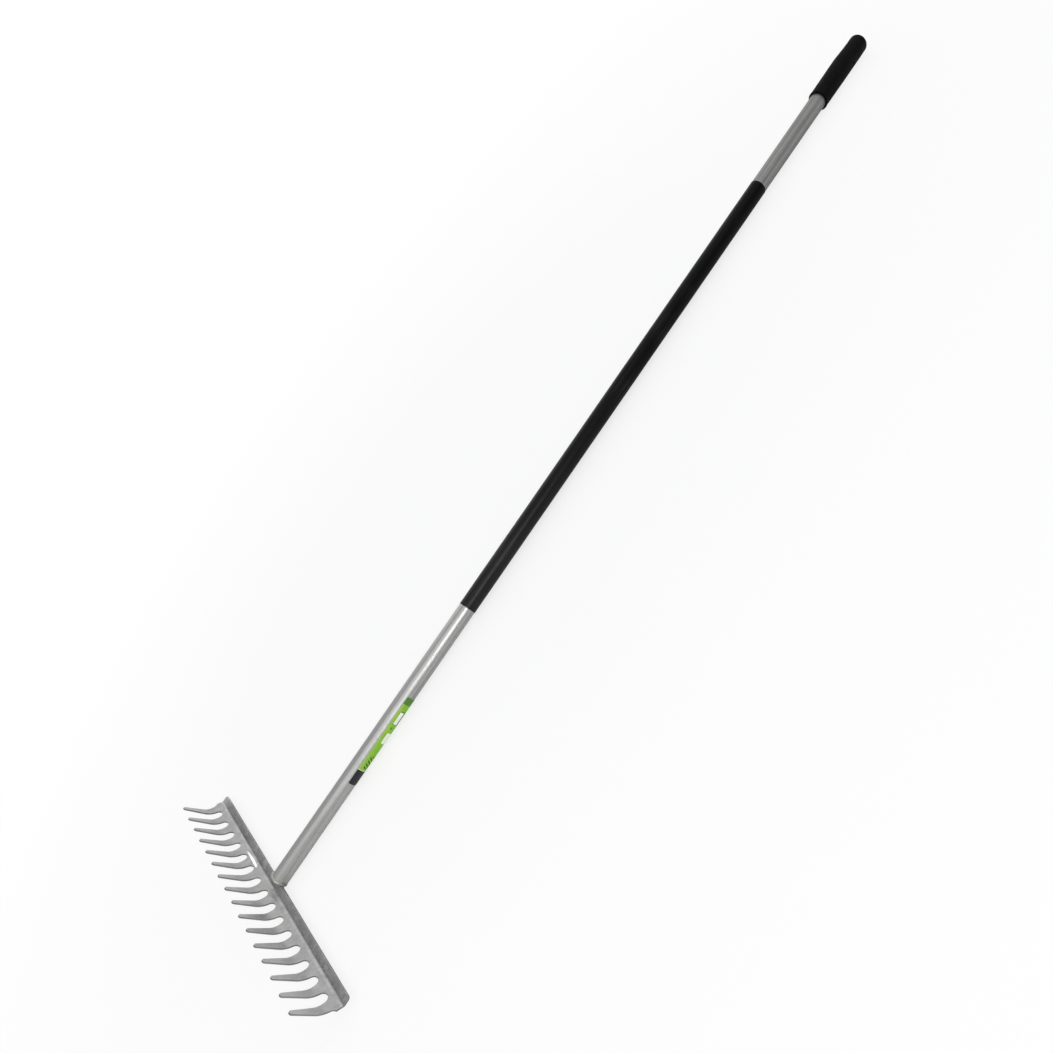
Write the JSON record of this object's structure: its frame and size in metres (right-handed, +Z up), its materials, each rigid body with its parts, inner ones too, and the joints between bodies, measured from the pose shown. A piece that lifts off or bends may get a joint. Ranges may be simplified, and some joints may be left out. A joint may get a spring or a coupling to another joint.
{
  "type": "garden rake",
  "caption": "Long-handled garden rake: a wide pressed-steel head with a comb of curved tines, welded to a round tube handle with a sleeve and an end grip.",
  "frame": {"origin": "middle of the box round the whole rake, on the surface that the rake lies on", "axes": "the rake lies on its back with the tines up: +X along the handle from the head to the grip, Y along the head's bar, +Z up, the way the tines point"},
  "size_m": [1.5734, 0.4584, 0.0749],
  "materials": {
    "head_paint": "silver paint, satin, slightly mottled",
    "weld_paint": "silver paint over a rippled weld",
    "tube_paint": "silver paint, satin, faintly drawn along the tube",
    "label_film": "printed film, semi-gloss",
    "sleeve_film": "shrunk black film, satin",
    "grip_plastic": "moulded black plastic, fine raised texture"
  },
  "bodies": {
    "root": {"rake_head": "head_paint", "weld_bead": "weld_paint", "handle_tube": "tube_paint", "handle_label": "label_film", "handle_sleeve": "sleeve_film", "end_grip": "grip_plastic"}
  },
  "joints": []
}
